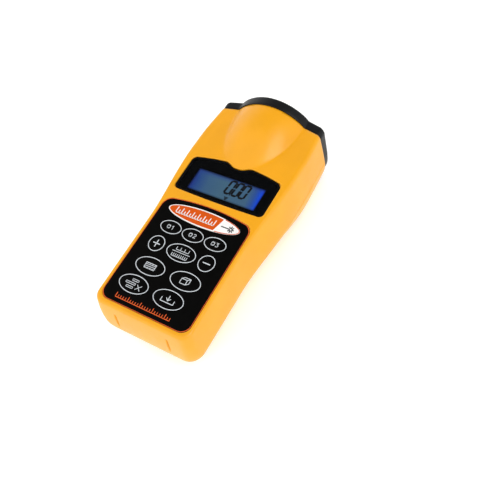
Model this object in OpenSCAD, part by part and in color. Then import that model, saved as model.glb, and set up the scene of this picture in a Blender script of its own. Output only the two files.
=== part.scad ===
// Handheld ultrasonic distance meter with a laser pointer.
// Lies on its back: +X to the user's right, +Y towards the nose, +Z out of the display side.

/* [Body] */
// Length from the base end to the top of the nose
body_length = 138.2; // [136:0.2:142]
// Height of the flat keypad face above the back
face_height = 39.5; // [39:0.25:41]
// Height of the joint between the front and back covers
joint_height = 21.5; // [20.5:0.5:22]
// Half width of the grip at the joint
grip_half_width = 29.4; // [29:0.1:30.5]
// Half width of the head at the joint
head_half_width = 33; // [32.6:0.1:34]
// Side wall thickness of the covers
wall = 2.2; // [1.8:0.1:2.4]
// Rise of the nose ridge above the sloping shoulders
ridge_rise = 8.4; // [8:0.1:8.8]

/* [Nose] */
// Radius of the horn's mouth
horn_mouth_r = 17.5; // [16.5:0.1:17.8]
// Depth of the horn from its mouth to the transducer
horn_depth = 22; // [20:0.5:24]
// Radius of the transducer can, a standard 16 mm type
can_r = 8; // [7.8:0.1:8]
// Thickness of the black nose cap seen from above
nose_rim = 5.4; // [5:0.1:6]

/* [Keypad] */
// How far each key travels
key_travel = 0.4; // [0.3:0.05:0.45]
// Gap round each key
key_gap = 0.22; // [0.15:0.01:0.25]

/* [Battery] */
// Length of the nine volt battery's can
battery_length = 46.4; // [46:0.1:46.6]
// Width of the battery
battery_width = 26.2; // [25.8:0.1:26.4]
// Thickness of the battery
battery_thickness = 17.2; // [16.8:0.1:17.4]
// Half width of the battery door
door_half_width = 13.6; // [13.4:0.1:13.8]

/* [Hidden] */
KEY_NAMES = [
    "key_measure", "key_memory_one", "key_memory_two", "key_memory_three",
    "key_plus", "key_units", "key_minus", "key_area", "key_volume", "key_clear", "key_store"
];

yellow = "orange";
black = "#202226";
board_green = "#1f6b3a";
steel = "silver";

// Places along the body
end_setback = 0.8;
base_y = -body_length / 2 - end_setback / 2;
nose_y = body_length / 2 + end_setback / 2;
keypad_y = base_y + 7.2;
window_y = keypad_y + 67.2;
ridge_y = window_y + 22;
slope_y = ridge_y + 2;
front_y = nose_y + 5;
nose_tilt = 0.14;
top_z = face_height + 7.5;
shoulder_drop = 1.2;
shoulder_y = nose_y - 7.3;

// Places across the layers of the body
floor_z = 2.7;
ceiling_z = face_height - 3.2;
board_z = 27;
board_thick = 1.6;
horn_z = 22.5;
horn_face_y = nose_y - nose_tilt * (top_z - horn_z) - 3;
throat_y = horn_face_y - horn_depth;
ridge_r = 27.6;
ridge_z = top_z - ridge_r;
clear = 0.3;
fine = 64;

function mix(a, b, s) = a + (b - a) * s;
function ramp(a, b, v) = let (s = max(0, min(1, (v - a) / (b - a)))) s * s * (3 - 2 * s);

// Half width at the joint and at the top edge, which widen from the grip to the head in an S
function joint_half_width(y) =
    mix(grip_half_width, head_half_width, ramp(base_y + 43.4, base_y + 89.4, y))
    - 0.0013 * pow(max(0, y - nose_y + 45), 2);
function top_half_width(y) =
    mix(grip_half_width - 1.4, head_half_width - 1.6, ramp(base_y + 54.4, base_y + 101.4, y))
    - 1.7 * ramp(nose_y - 28, nose_y - 4, y);

// How far the back cover's surface has drawn in at a height above the back
grip_levels = [
    [0, 15.3], [0.3, 14.3], [1, 12.9], [2, 11.6], [4, 9.8], [6, 8.4],
    [9, 6.5], [12, 4.7], [15, 2.95], [18, 1.3], [20, 0.4]
];
nose_levels = [
    [0, 24.5], [0.3, 22.4], [1, 18.7], [2, 15], [4, 10.4], [6, 7.4],
    [9, 4.4], [12, 2.3], [15, 0.9], [18, 0.2], [20, 0.05]
];
end_levels = [
    [0, 12.5], [0.3, 11.4], [1, 10.1], [2, 8.9], [4, 7.3], [6, 5.9],
    [9, 4.6], [12, 3.5], [15, 2.4], [18, 1.35], [20, 0.9]
];
function level_inset(levels, z, last = 0) = lookup(z, concat(levels, [[joint_height, last]]));
function low_inset(z, y) =
    mix(level_inset(grip_levels, z), level_inset(nose_levels, z),
        ramp(base_y + 76, base_y + 102, y));
function edge_round(z, r) = let (h = max(0, z - face_height + r)) r - sqrt(max(0, r * r - h * h));
function side_x(y, z) = z <= joint_height
    ? joint_half_width(y) - low_inset(z, y)
    : let (s = (z - joint_height) / (face_height - joint_height))
      mix(joint_half_width(y), top_half_width(y), pow(s, 1.5))
        - edge_round(z, mix(0.9, 1.6, ramp(window_y, window_y + 30, y)));
function end_y(z) = z <= joint_height
    ? base_y + level_inset(end_levels, z, end_setback)
    : base_y + mix(end_setback, 4.4, pow((z - joint_height) / (face_height - joint_height), 1.5))
      + edge_round(z, 1.3);

// Plan outline of the body at one height, drawn in by an inset
side_steps = 13;
function corner_r(z) = mix(8.5, 5.5, ramp(10, 36, z));
function body_ring(z, inset) =
    let (
        r = corner_r(z) - inset,
        y0 = end_y(z) + inset + r,
        x0 = side_x(y0, z) - inset - r,
        corner = [for (a = [-90 : 18 : 0]) [x0 + r * cos(a), y0 + r * sin(a), z]],
        side = [for (i = [1 : side_steps])
            let (y = mix(y0, front_y, i / side_steps)) [side_x(y, z) - inset, y, z]],
        right = concat(corner, side)
    )
    concat(right, [for (i = [len(right) - 1 : -1 : 0]) [-right[i].x, right[i].y, z]]);

// Joins rings of equal length, lowest first, into one closed solid
module skin(rings) {
    n = len(rings[0]);
    m = len(rings);
    sides = [for (i = [0 : m - 2]) for (j = [0 : n - 1])
        let (k = (j + 1) % n)
        [(i + 1) * n + j, (i + 1) * n + k, i * n + k, i * n + j]];
    bottom = [for (j = [0 : n - 1]) j];
    top = [for (j = [n - 1 : -1 : 0]) (m - 1) * n + j];
    polyhedron(points = [for (ring = rings) each ring], faces = concat(sides, [bottom, top]));
}

high_levels = [0, 0.25, 0.5, 0.72, 0.89, 0.95, 0.985, 1];
function at_height(ring, z) = [for (p = ring) [p.x, p.y, z]];
function upper_rings(inset, top) = [for (s = high_levels) body_ring(mix(joint_height, top, s), inset)];
function lower_rings(inset, bottom) =
    let (levels = [for (p = grip_levels) if (p[0] > bottom) p[0]])
    [for (z = concat([bottom], levels, [joint_height])) body_ring(z, inset)];
module upper_body() {
    skin(upper_rings(0, face_height));
}
module lower_body(inset, bottom) {
    skin(lower_rings(inset, bottom));
}

// The covers' insides, carried straight on past the joint so that they open it cleanly
module upper_hollow() {
    rings = upper_rings(wall, ceiling_z);
    skin(concat([at_height(rings[0], joint_height - 1)], rings));
}
module lower_hollow() {
    rings = lower_rings(wall, floor_z);
    skin(concat(rings, [at_height(rings[len(rings) - 1], joint_height + 1)]));
}

// Everything in front of a surface parallel to the nose's tilted face, swept back at both sides
sweep_x = 18;
sweep_angle = 12;
module ahead_of_plane(distance) {
    y0 = nose_y - distance - nose_tilt * top_z;
    translate([-50, 0, 0])
        rotate([90, 0, 90])
            linear_extrude(100)
                polygon([
                    [y0 - nose_tilt * 5, -5],
                    [y0 + nose_tilt * (top_z + 5), top_z + 5],
                    [front_y + 30, top_z + 5],
                    [front_y + 30, -5]
                ]);
}
module ahead_of(distance) {
    ahead_of_plane(distance);
    for (side = [-1, 1])
        translate([side * sweep_x, nose_y, 0])
            rotate([0, 0, -side * sweep_angle])
                translate([-side * sweep_x, -nose_y, 0])
                    ahead_of_plane(distance);
}

// Everything above the plane of the sloping shoulders
module above_shoulders(depth) {
    slope = shoulder_drop / (shoulder_y - slope_y);
    translate([-50, 0, 0])
        rotate([90, 0, 90])
            linear_extrude(100)
                polygon([
                    [slope_y, face_height - depth],
                    [front_y + 10, face_height - depth - slope * (front_y + 10 - slope_y)],
                    [front_y + 10, face_height + 20],
                    [slope_y, face_height + 20]
                ]);
}

// The half-cone ridge over the horn, an arc at every station that shrinks to a tip
function ridge_half_width(y) =
    let (s = max(0, min(1, (shoulder_y - y) / (shoulder_y - ridge_y)))) 19.8 * sqrt(1 - s * s);
function ridge_height(y) =
    let (s = max(0, min(1, (y - ridge_y) / (shoulder_y - ridge_y)))) ridge_rise * pow(sin(90 * s), 1.2);
function shoulder_z(y) = face_height
    - shoulder_drop * max(0, y - slope_y) / (shoulder_y - slope_y);
function ridge_ring(y, inset) =
    let (
        w = max(0.8, ridge_half_width(y) - inset),
        h = max(0.25, ridge_height(y)),
        r = (w * w + h * h) / (2 * h),
        a = asin(min(1, w / r)) + 4,
        z = shoulder_z(y) - inset
    )
    concat(
        [for (i = [0 : 12]) let (t = mix(-a, a, i / 12)) [r * sin(t), y, z + h - r + r * cos(t)]],
        [[r * sin(a), y, z - 4.3], [-r * sin(a), y, z - 4.3]]
    );
module ridge(inset) {
    start = ridge_y + 0.4 + 3 * inset;
    skin([for (s = [0, 0.02, 0.06, 0.12, 0.2, 0.3, 0.42, 0.55, 0.7, 0.85, 1])
        ridge_ring(mix(start, front_y, s), inset)]);
}

// Outline of the keypad: straight sides, round corners and an arched top edge
function arc(x, y, r, from, to, steps) =
    [for (i = [0 : steps]) let (a = mix(from, to, i / steps)) [x + r * cos(a), y + r * sin(a)]];
keypad_half = 26;
film_gap = 0.15;
keypad_side = 61.7;
keypad_top = 63.4;
keypad_corner = 5;
keypad_shoulder = 5.5;
function keypad_outline(grow) =
    let (
        w = keypad_half + grow,
        r = keypad_corner,
        q = keypad_shoulder,
        y0 = keypad_y - grow,
        y1 = keypad_y + grow,
        bow = [for (i = [0 : 10]) let (t = mix(1, -1, i / 10))
            [(w - q) * t, y1 + mix(keypad_top, keypad_side, t * t)]]
    )
    concat(
        arc(w - r, y0 + r, r, -90, 0, 6),
        arc(w - q, y1 + keypad_side - q, q, 0, 72, 5),
        bow,
        arc(q - w, y1 + keypad_side - q, q, 108, 180, 5),
        arc(r - w, y0 + r, r, 180, 270, 6)
    );

// Outline of the display window: bowed top with a dip for the ridge's tip, and a lower edge
// that bows down a little in the middle. It sits slightly to the right.
window_x = 0.3;
window_half = 26.5;
window_corner = 2.6;
window_shoulder = 3.4;
function window_top(x) = window_y + 24.2 - 2.5 * pow(x / 22.8, 2)
    - 2.6 * (1 - ramp(1.2, 8.4, abs(x)));
function window_bottom(x) = window_y + 0.15 + 0.45 * pow(x / 24, 2);
function window_outline(grow) =
    let (
        w = window_half + grow,
        r = window_corner,
        q = window_shoulder,
        y0 = window_bottom(w - r) - grow + r,
        y1 = window_y + grow + 18.2,
        bottom = [for (i = [1 : 9]) let (x = mix(r - w, w - r, i / 10)) [x, window_bottom(x) - grow]],
        top = [for (i = [0 : 20]) let (x = mix(w - q, q - w, i / 20)) [x, window_top(x) + grow]]
    )
    [for (p = concat(
        bottom,
        arc(w - r, y0, r, -90, 0, 5),
        arc(w - q, y1, q, 0, 72, 4),
        top,
        arc(q - w, y1, q, 108, 180, 4),
        arc(r - w, y0, r, 180, 270, 5)
    )) [window_x + p.x, p.y]];
module slab(outline, bottom, top) {
    translate([0, 0, bottom])
        linear_extrude(top - bottom)
            polygon(outline);
}

// Keys: centre across, centre above the keypad's lower edge, half width, half height
KEYS = [
    [0, 56.3, 21.2, 4.72],
    [-13.3, 46.1, 6.3, 3.8], [0, 46.1, 6.3, 3.8], [13.3, 46.1, 6.3, 3.8],
    [-15, 35.4, 4.6, 4.6], [0, 35.4, 8.5, 4.9], [15, 35.4, 4.6, 4.6],
    [-10.5, 23.2, 8.7, 4.95], [10.5, 23.2, 8.7, 4.95],
    [-12.7, 11.8, 8.7, 4.95], [8.1, 11.8, 8.7, 4.95]
];
window_top_z = face_height - 0.3;
window_thick = 1.2;
recess_z = face_height - 1.9;
dome_z = recess_z + 0.3;
overlay_z = face_height - 0.5;
overlay_top = face_height - 0.12;
key_bottom = dome_z + 0.35 + key_travel + 0.1;
function key_outline(k, grow) =
    [for (a = [0 : 7.5 : 352.5]) [
        k[0] + (k[2] + grow) * cos(a),
        keypad_y + k[1] + (k[3] + grow) * sin(a)
    ]];
module key_holes(bottom, top) {
    for (k = KEYS)
        slab(key_outline(k, key_gap), bottom, top);
}

// Places of the screws that hold the covers together
shell_screw_places = [[-19.6, base_y + 12], [19.6, base_y + 12], [-26.2, nose_y - 37], [26.2, nose_y - 37]];
board_screw_places = [[-21.5, base_y + 23], [21.5, base_y + 23], [-21.5, base_y + 66], [21.5, base_y + 66]];

module post(place, r, hole_r, bottom, top) {
    translate([place.x, place.y, bottom])
        difference() {
            cylinder(r = r, h = top - bottom, $fn = fine);
            translate([0, 0, -1])
                cylinder(r = hole_r, h = top - bottom + 2, $fn = fine);
        }
}

module front_cover() {
    color(yellow) {
        difference() {
            union() {
                difference() {
                    upper_body();
                    above_shoulders(0);
                }
                ridge(0);
            }
            difference() {
                upper_hollow();
                above_shoulders(2.6);
            }
            ridge(wall);
            ahead_of(nose_rim);
            slab(keypad_outline(film_gap), recess_z, face_height + 1);
            slab(window_outline(clear), window_top_z - window_thick, face_height + 0.6);
            translate([-24.2, window_y + 0.5, ceiling_z - 1])
                cube([48.4, 18.4, 6]);
            translate([-8, keypad_y + 2, ceiling_z - 1])
                cube([16, 1.6, 5]);
            strap_grooves();
        }
        for (p = shell_screw_places)
            post(p, 3.1, 0.95, joint_height + 0.1, ceiling_z + 0.3);
        for (p = board_screw_places)
            post(p, 2.2, 0.75, board_z + board_thick, ceiling_z + 0.2);
    }
}

// Two short grooves in the base end that fade out as the end slopes
module strap_grooves() {
    for (x = [-15.6, 15.6])
        translate([x - 0.45, base_y - 1, joint_height + 3.5])
            rotate([-9, 0, 0])
                cube([0.9, 2.4, 9]);
}

// Wells that the shell screws' heads go up
screw_head_z = 12;
module screw_wells() {
    for (p = shell_screw_places)
        translate([p.x, p.y, -1])
            cylinder(r = 2.7, h = screw_head_z + 2.5, $fn = fine);
}

door_y = base_y + 57.4;
module back_cover() {
    box_half = battery_width / 2 + 0.5;
    color(yellow) {
        difference() {
            union() {
                difference() {
                    lower_body(0, 0);
                    lower_hollow();
                    ahead_of(nose_rim);
                    translate([-door_half_width - clear, base_y - 10, -1])
                        cube([2 * (door_half_width + clear), door_y + clear - base_y + 10, 2.1]);
                    translate([-door_half_width - 1.5, base_y - 10, 1])
                        cube([2 * (door_half_width + 1.5), door_y + clear - base_y + 10, 2.5]);
                }
                intersection() {
                    lower_body(wall / 2, 1);
                    for (p = shell_screw_places)
                        translate([p.x, p.y, 3.2])
                            cylinder(r = 3.7, h = joint_height - 3.2, $fn = fine);
                }
            }
            for (p = shell_screw_places)
                translate([p.x, p.y, -1])
                    cylinder(r = 1.25, h = joint_height + 2, $fn = fine);
            screw_wells();
        }
        for (x = [-box_half - 1.2, box_half])
            translate([x, base_y + 13, floor_z])
                cube([1.2, 54, 15]);
        translate([-box_half, base_y + 66, floor_z])
            cube([2 * box_half, 1.2, 15]);
    }
}

// The door's tongues start where the rounded corners of the base end leave room for them
tongue_y = base_y + 13;
module battery_door() {
    color(yellow)
        difference() {
            union() {
                intersection() {
                    lower_body(0, 0);
                    translate([-door_half_width, base_y - 1, -1])
                        cube([2 * door_half_width, door_y - base_y + 1, 3.4]);
                }
                translate([-door_half_width - 1.2, tongue_y, 1.3])
                    cube([2 * (door_half_width + 1.2), door_y - 0.3 - tongue_y, 1]);
            }
            for (i = [0 : 4])
                translate([-7, base_y + 13 + 2.4 * i, -1])
                    cube([14, 1, 1.5]);
            for (x = [-4.5, 3.9])
                translate([x, door_y - 8, -1])
                    cube([0.6, 10, 5]);
        }
}

module battery_foam() {
    color("dimgray")
        translate([-10, base_y + 10.2, 5])
            cube([20, 3, 11]);
}

// Outline of the nose cap in the plane across the body, drawn in or out by an amount
shoulder_top = face_height - shoulder_drop - 0.4;
function nose_outline(grow) =
    let (
        r = ridge_r + 0.3 + grow,
        z1 = shoulder_top + 0.5 + grow,
        a = acos((z1 + 1.1 - ridge_z) / r),
        w = top_half_width(nose_y) + 0.6 + grow,
        side = joint_half_width(nose_y) + 0.4 + grow,
        right = concat(
            [for (i = [0 : 10]) let (t = a * i / 10) [r * sin(t), ridge_z + r * cos(t)]],
            [[r * sin(a) + 0.7, z1 + 0.35], [r * sin(a) + 1.7, z1]],
            arc(w - 3, z1 - 3.1, 3, 85, 5, 5),
            [[side, joint_height], [side - 0.4, 16], [side - 1.4, 13.2], [side - 2.9, 10.6]],
            [[side - 5.4, 7.4 - grow * 0.7], [side - 7.6, 5.2 - grow]],
            [for (i = [1 : 8]) let (x = mix(side - 8.2, 6, i / 8)) [x, x * x / 135 - 0.27 - grow]]
        )
    )
    concat(right, [for (i = [len(right) - 1 : -1 : 1]) [-right[i].x, right[i].y]]);
module nose_prism(grow, from, to) {
    intersection() {
        translate([0, nose_y + 2, 0])
            rotate([90, 0, 0])
                linear_extrude(30)
                    polygon(nose_outline(grow));
        difference() {
            ahead_of(from);
            ahead_of(to);
        }
    }
}

laser_x = -22.6;
laser_z = 20.4;
module nose_cap() {
    color(black)
        difference() {
            union() {
                nose_prism(0, nose_rim, 1);
                nose_prism(-0.9, 1.2, 0);
                difference() {
                    nose_prism(-3.2, nose_rim + 2.5, 2);
                    translate([-50, nose_y - 30, 32])
                        cube([100, 60, 30]);
                }
            }
            nose_prism(-4.6, nose_rim + 4, 3);
            difference() {
                on_horn_axis(horn_face_y - 20)
                    cylinder(r = horn_mouth_r + 3.1, h = 40, $fn = fine);
                ahead_of(3);
            }
            translate([0, horn_face_y - 20, horn_z])
                rotate([-90, 0, 0])
                    cylinder(r = horn_mouth_r, h = 40, $fn = fine);
            translate([laser_x, nose_y - 20, laser_z])
                rotate([-90, 0, 0])
                    cylinder(r = 2.1, h = 40, $fn = fine);
        }
}

// The horn turned round the Y axis: mouth, cone, throat and the transducer's socket
horn_wall = 1.4;
socket_r = can_r + 1.2;
socket_depth = 10.5;
module horn() {
    lead = 6;
    slope = (horn_mouth_r - can_r - 0.6) / horn_depth;
    color(black)
        difference() {
            translate([0, throat_y, horn_z])
                rotate([-90, 0, 0])
                    rotate_extrude($fn = fine)
                        polygon([
                            [can_r + 0.6, 0],
                            [can_r + 0.6 + slope * (horn_depth + lead), horn_depth + lead],
                            [can_r + 3.4 + slope * (horn_depth + lead), horn_depth + lead],
                            [can_r + 0.6 + slope * (horn_depth - 3) + horn_wall, horn_depth - 3],
                            [socket_r + horn_wall, 0],
                            [socket_r + horn_wall, -socket_depth],
                            [socket_r, -socket_depth],
                            [socket_r, -0.8],
                            [can_r + 0.6, -0.8]
                        ]);
            ahead_of(3.02);
        }
}

module on_horn_axis(y) {
    translate([0, y, horn_z])
        rotate([-90, 0, 0])
            children();
}

can_front = throat_y - 0.9;
can_length = 11;
module transducer_can() {
    color(steel)
        on_horn_axis(can_front - can_length)
            rotate_extrude($fn = fine)
                polygon([
                    [can_r - 0.5, 0],
                    [can_r, 0],
                    [can_r, can_length],
                    [can_r - 1.2, can_length],
                    [can_r - 1.2, can_length - 0.7],
                    [can_r - 0.5, can_length - 0.7]
                ]);
}

module transducer_mesh() {
    pitch = 1.6;
    r = can_r - 0.55;
    color(black)
        on_horn_axis(can_front - 1.2)
            difference() {
                cylinder(r = r, h = 0.4, $fn = fine);
                for (i = [-3 : 3], j = [-3 : 3])
                    if (norm([i, j]) * pitch < r - 1.2)
                        translate([i * pitch - 0.5, j * pitch - 0.5, -1])
                            cube([1, 1, 3]);
            }
}

module transducer_cone() {
    color(steel)
        on_horn_axis(can_front - 5)
            rotate_extrude($fn = fine)
                polygon([[0, 0], [1.2, 0], [4.6, 2.8], [4.2, 2.8], [0.8, 0.6], [0, 0.6]]);
}

module transducer_base() {
    color("saddlebrown")
        on_horn_axis(can_front - can_length)
            cylinder(r = can_r - 0.55, h = 2, $fn = fine);
    color(steel)
        for (x = [-3.5, 3.5])
            translate([x, can_front - can_length - 3, horn_z])
                rotate([-90, 0, 0])
                    cylinder(r = 0.6, h = 3, $fn = fine);
}

module transducer_gasket() {
    color(black)
        on_horn_axis(throat_y - socket_depth + 0.5)
            difference() {
                cylinder(r = socket_r, h = socket_depth - 1.4, $fn = fine);
                translate([0, 0, -1])
                    cylinder(r = can_r, h = socket_depth + 2, $fn = fine);
            }
}

laser_front = nose_y - 16;
module laser_at(y) {
    translate([laser_x, y, laser_z])
        rotate([-90, 0, 0])
            children();
}
module laser_barrel() {
    color("goldenrod")
        laser_at(laser_front - 13)
            difference() {
                cylinder(r = 3, h = 13, $fn = fine);
                translate([0, 0, 10])
                    cylinder(r = 2.2, h = 5, $fn = fine);
            }
}
module laser_lens() {
    color("lightblue")
        laser_at(laser_front - 2.6)
            cylinder(r = 2.2, h = 1.6, $fn = fine);
}
module laser_window() {
    color("red")
        laser_at(nose_y - nose_tilt * (top_z - laser_z) - 3.5)
            cylinder(r = 2.08, h = 1.8, $fn = fine);
}
module laser_clamp() {
    color(black)
        translate([laser_x - 4.4, laser_front - 10, laser_z])
            difference() {
                translate([0, 0, -5])
                    cube([8.8, 6, 10]);
                translate([4.4, -1, 0])
                    rotate([-90, 0, 0])
                        cylinder(r = 3, h = 8, $fn = fine);
            }
}

lcd_x = 23.6;
lcd_depth = 17.4;
lcd_y = window_y + 1;
view_x = 20.1;
mask_thick = 0.12;
bezel_width = 0.8;
module display_window() {
    color([0.3, 0.4, 0.5, 0.5])
        slab(window_outline(-bezel_width - 0.1), window_top_z - window_thick + mask_thick, window_top_z);
}
module display_mask() {
    z = window_top_z - window_thick;
    color(black)
        difference() {
            slab(window_outline(0), z, window_top_z);
            slab(window_outline(-bezel_width), z + mask_thick, window_top_z + 1);
            translate([window_x - view_x, lcd_y + 1.3, z - 1])
                cube([2 * view_x, 13.8, 2]);
        }
}
module lcd_glass() {
    color("lightsteelblue")
        translate([-lcd_x, lcd_y - 0.3, window_top_z - window_thick - 2.2])
            cube([2 * lcd_x, lcd_depth, 2]);
}
lcd_bottom = window_top_z - window_thick - 2.2;
module lcd_backlight() {
    color("white")
        translate([-21, lcd_y + 0.5, lcd_bottom - 3.2])
            cube([42, 13.5, 3]);
}
module lcd_frame() {
    height = lcd_bottom - 0.1 - board_z - board_thick;
    color("gainsboro")
        translate([-lcd_x - 0.4, lcd_y - 0.9, board_z + board_thick])
            difference() {
                cube([2 * lcd_x + 0.8, lcd_depth + 1.6, height]);
                translate([2.4, 1.2, -1])
                    cube([2 * lcd_x - 4, lcd_depth - 1, height + 2]);
            }
}
module contact_strips() {
    height = lcd_bottom - board_z - board_thick;
    color("hotpink")
        translate([-20.5, lcd_y + 14.3, board_z + board_thick])
            cube([41, 1.6, height]);
}

module keypad_overlay() {
    color(black)
        difference() {
            slab(keypad_outline(0), overlay_z, overlay_top);
            key_holes(overlay_z - 1, face_height + 1);
        }
}
module keypad_spacer() {
    color("dimgray")
        difference() {
            slab(keypad_outline(-0.2), dome_z, overlay_z);
            key_holes(dome_z - 1, face_height + 1);
        }
}
module keypad_circuit() {
    color("steelblue") {
        slab(keypad_outline(-0.2), recess_z, dome_z);
        translate([-7, keypad_y + 2.3, board_z + 3.2])
            cube([14, 0.3, recess_z - board_z - 3.2]);
    }
}
module contact_domes() {
    color(steel)
        for (k = KEYS)
            translate([k[0], keypad_y + k[1], dome_z])
                cylinder(r = 3, h = 0.3, $fn = fine);
}
module key_cap(i) {
    color(i == 0 ? "orangered" : black) {
        slab(key_outline(KEYS[i], 0), overlay_z - 0.25, overlay_top);
        translate([KEYS[i][0], keypad_y + KEYS[i][1], key_bottom])
            cylinder(r = 2.4, h = overlay_top - key_bottom - 0.1, $fn = fine);
    }
}

module main_board() {
    color(board_green)
        difference() {
            translate([-24, base_y + 17, board_z])
                cube([48, 76.5, board_thick]);
            for (p = board_screw_places)
                translate([p.x, p.y, board_z - 1])
                    cylinder(r = 1.1, h = 4, $fn = fine);
        }
}
on_board = board_z + board_thick;
module controller_chip() {
    color(black)
        translate([-7, base_y + 40, on_board])
            cube([14, 14, 2]);
    color(steel)
        for (i = [0 : 7], side = [-8.2, 7])
            translate([side, base_y + 41.2 + 1.6 * i, on_board])
                cube([1.2, 0.6, 0.4]);
}
module amplifier_chips() {
    color(black)
        for (y = [base_y + 62, base_y + 26])
            translate([8, y, on_board])
                cube([5, 4, 1.6]);
}
module pulse_transformer() {
    color(steel)
        translate([-17, base_y + 56, on_board])
            cube([7, 7, 6.4]);
}
module crystal() {
    color(steel)
        translate([-15, base_y + 46, on_board])
            cube([4.6, 4, 3.4]);
}
module filter_capacitors() {
    color("navy")
        for (x = [12, 17.5])
            translate([x, base_y + 50, on_board])
                cylinder(r = 2.3, h = 6, $fn = fine);
}
module buzzer() {
    color(black)
        translate([14, base_y + 38, on_board])
            difference() {
                cylinder(r = 6, h = 5.6, $fn = fine);
                translate([0, 0, 4])
                    cylinder(r = 1, h = 5, $fn = fine);
            }
}
module tail_connector() {
    color("ivory")
        translate([-9, base_y + 18, on_board])
            difference() {
                cube([18, 4.6, 3]);
                translate([1, -1, 1.8])
                    cube([16, 3.2, 3]);
            }
}

// A pan head screw standing head down at a place
module screw(place, head_z, head_r, shank_r, length) {
    translate([place.x, place.y, head_z])
        difference() {
            union() {
                cylinder(r = head_r, h = 1.5, $fn = fine);
                cylinder(r = shank_r, h = length, $fn = fine);
            }
            for (a = [0, 90])
                rotate([0, 0, a])
                    translate([-head_r * 0.6, -0.25, -1])
                        cube([head_r * 1.2, 0.5, 1.8]);
        }
}
module board_screws() {
    color(steel)
        for (p = board_screw_places)
            screw(p, board_z - 1.5, 1.7, 0.75, 7);
}
module shell_screws() {
    color(steel)
        for (p = shell_screw_places)
            screw(p, screw_head_z, 2.4, 0.95, 20);
}

battery_y = base_y + 13.4;
battery_z = 4.1;
module battery() {
    color("slategray")
        translate([-battery_width / 2, battery_y, battery_z])
            cube([battery_width, battery_length, battery_thickness]);
}
module battery_terminals() {
    color(steel)
        for (x = [-6.35, 6.35])
            translate([x, battery_y + battery_length, battery_z + battery_thickness / 2])
                rotate([-90, 0, 0])
                    cylinder(r = x < 0 ? 2.8 : 3.4, h = 2.4, $fn = fine);
}
module battery_snap() {
    color(black)
        translate([-12, battery_y + battery_length + 2.4, battery_z + 2])
            cube([24, 2.6, 13]);
}

// A thin wire along a short run of straight stretches
module wire(run, r) {
    for (i = [0 : len(run) - 2]) {
        d = run[i + 1] - run[i];
        translate(run[i])
            rotate([0, acos(d.z / norm(d)), atan2(d.y, d.x)])
                cylinder(r = r, h = norm(d), $fn = fine);
    }
    for (i = [1 : len(run) - 2])
        translate(run[i])
            sphere(r = r, $fn = 24);
}
snap_y = battery_y + battery_length + 5;
lead_z = 18.4;
module battery_lead_red() {
    color("red")
        wire([[9, snap_y, lead_z], [9, snap_y + 4, lead_z], [9, snap_y + 4, board_z]], 0.6);
}
module battery_lead_black() {
    color(black)
        wire([[-9, snap_y, lead_z], [-9, snap_y + 4, lead_z], [-9, snap_y + 4, board_z]], 0.6);
}
module transducer_leads() {
    back_y = can_front - can_length - 3;
    color("white")
        for (x = [-3.5, 3.5])
            wire([[x, back_y, horn_z], [x, back_y - 4, horn_z], [x, back_y - 4, board_z]], 0.6);
}
module laser_leads() {
    back_y = laser_front - 13;
    color("firebrick")
        for (x = [laser_x - 1, laser_x + 1])
            wire([
                [x, back_y - 0.4, laser_z],
                [x + 3, back_y - 3.4, laser_z],
                [x + 3, base_y + 91, laser_z],
                [x + 3, base_y + 91, board_z]
            ], 0.5);
}

front_cover();
back_cover();
nose_cap();
horn();
transducer_can();
transducer_mesh();
transducer_cone();
transducer_base();
transducer_gasket();
laser_barrel();
laser_lens();
laser_window();
laser_clamp();
display_window();
display_mask();
lcd_glass();
lcd_frame();
lcd_backlight();
contact_strips();
keypad_overlay();
keypad_spacer();
keypad_circuit();
contact_domes();
main_board();
controller_chip();
amplifier_chips();
pulse_transformer();
crystal();
filter_capacitors();
buzzer();
tail_connector();
board_screws();
battery_door();
battery_foam();
battery();
battery_terminals();
battery_snap();
battery_lead_red();
battery_lead_black();
transducer_leads();
laser_leads();
shell_screws();
for (i = [0 : len(KEY_NAMES) - 1])
    key_cap(i);
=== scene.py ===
"""Looks of a handheld ultrasonic distance meter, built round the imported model."""

from math import acos, atan2, cos, exp, pi, radians, sin, sqrt, tan

import bmesh
import bpy
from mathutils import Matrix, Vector, kdtree
from mathutils.geometry import delaunay_2d_cdt


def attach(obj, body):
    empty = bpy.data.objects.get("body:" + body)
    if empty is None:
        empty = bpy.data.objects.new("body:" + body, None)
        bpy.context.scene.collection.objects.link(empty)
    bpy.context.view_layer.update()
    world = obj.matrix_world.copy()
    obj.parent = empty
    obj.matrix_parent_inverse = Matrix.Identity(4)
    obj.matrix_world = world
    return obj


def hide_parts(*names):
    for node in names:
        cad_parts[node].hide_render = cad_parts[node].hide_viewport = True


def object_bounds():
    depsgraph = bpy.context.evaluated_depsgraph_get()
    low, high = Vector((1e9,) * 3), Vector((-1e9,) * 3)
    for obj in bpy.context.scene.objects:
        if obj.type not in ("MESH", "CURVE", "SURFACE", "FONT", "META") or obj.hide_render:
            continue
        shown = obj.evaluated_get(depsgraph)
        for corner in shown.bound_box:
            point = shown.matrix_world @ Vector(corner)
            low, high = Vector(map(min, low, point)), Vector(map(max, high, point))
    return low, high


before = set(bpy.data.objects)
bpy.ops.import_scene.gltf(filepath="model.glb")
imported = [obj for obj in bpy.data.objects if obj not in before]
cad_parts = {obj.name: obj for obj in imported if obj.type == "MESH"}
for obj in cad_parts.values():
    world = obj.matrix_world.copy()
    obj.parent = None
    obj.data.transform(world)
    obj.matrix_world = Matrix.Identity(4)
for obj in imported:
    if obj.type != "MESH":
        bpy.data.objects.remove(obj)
cad_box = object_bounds()
scene = bpy.context.scene

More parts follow.
